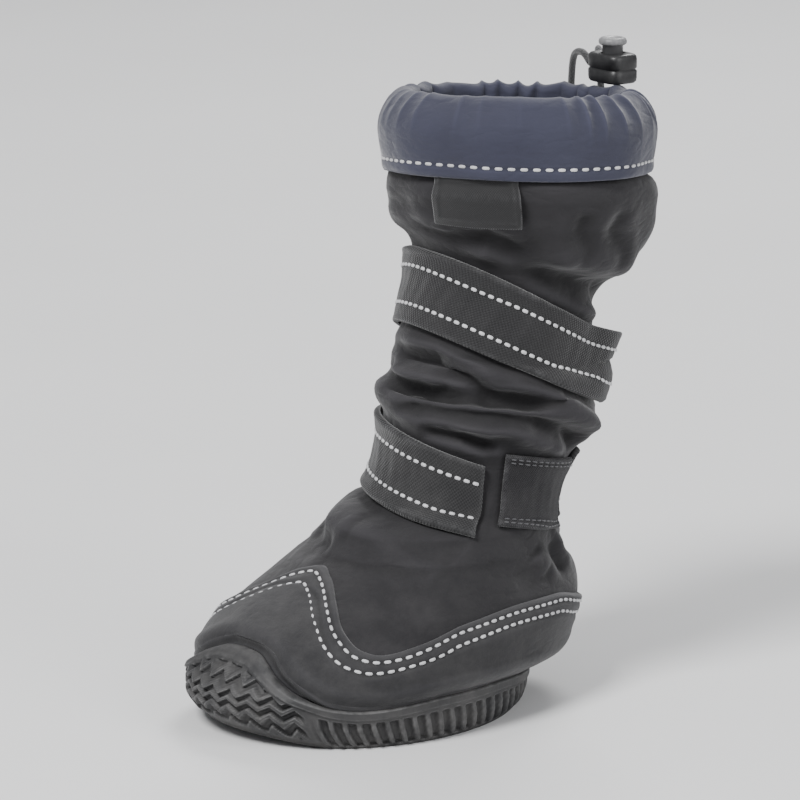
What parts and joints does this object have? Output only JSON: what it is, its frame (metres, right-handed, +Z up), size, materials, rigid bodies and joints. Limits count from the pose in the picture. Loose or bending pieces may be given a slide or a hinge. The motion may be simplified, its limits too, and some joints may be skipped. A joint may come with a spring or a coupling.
{
  "type": "dog shoe",
  "caption": "Tall soft dog shoe with a rubber cup sole, wrap straps, and a turned-over cuff gathered by a drawcord with a cord lock.",
  "frame": {"origin": "on the floor under the middle of the sole", "axes": "+Z up, the toe points to -Y, the outer side of the left front paw to +X"},
  "size_m": [0.076, 0.1416, 0.1618],
  "materials": {
    "rubber": "matt moulded rubber",
    "foam": "cloth-covered foam",
    "black_cloth": "matt soft shell cloth",
    "navy_cloth": "matt knitted lining",
    "webbing": "woven webbing",
    "loop_pile": "short loop pile",
    "black_plastic": "satin",
    "grey_plastic": "satin",
    "cord": "braided elastic"
  },
  "bodies": {
    "shoe": {"outsole": "rubber", "insole": "foam", "upper": "black_cloth", "foot_guard": "black_cloth", "cuff": "navy_cloth", "label_tab": "webbing", "upper_strap": "webbing", "upper_strap_back": "webbing", "lower_strap": "webbing", "lower_strap_patch": "loop_pile", "lower_strap_back": "webbing", "cord_lock_barrel": "black_plastic", "drawcord_end_1": "cord", "cord_tip_1": "black_plastic", "drawcord_end_2": "cord", "cord_tip_2": "black_plastic"},
    "lock_button": {"cord_lock_button": "grey_plastic"}
  },
  "joints": [
    {"name": "button_press", "type": "slide", "parent": "shoe", "child": "lock_button", "axis": [0, 0, 1], "range_m": [-0.0018, 0], "stiffness_N_per_m": 300, "springref_m": 0.001}
  ]
}
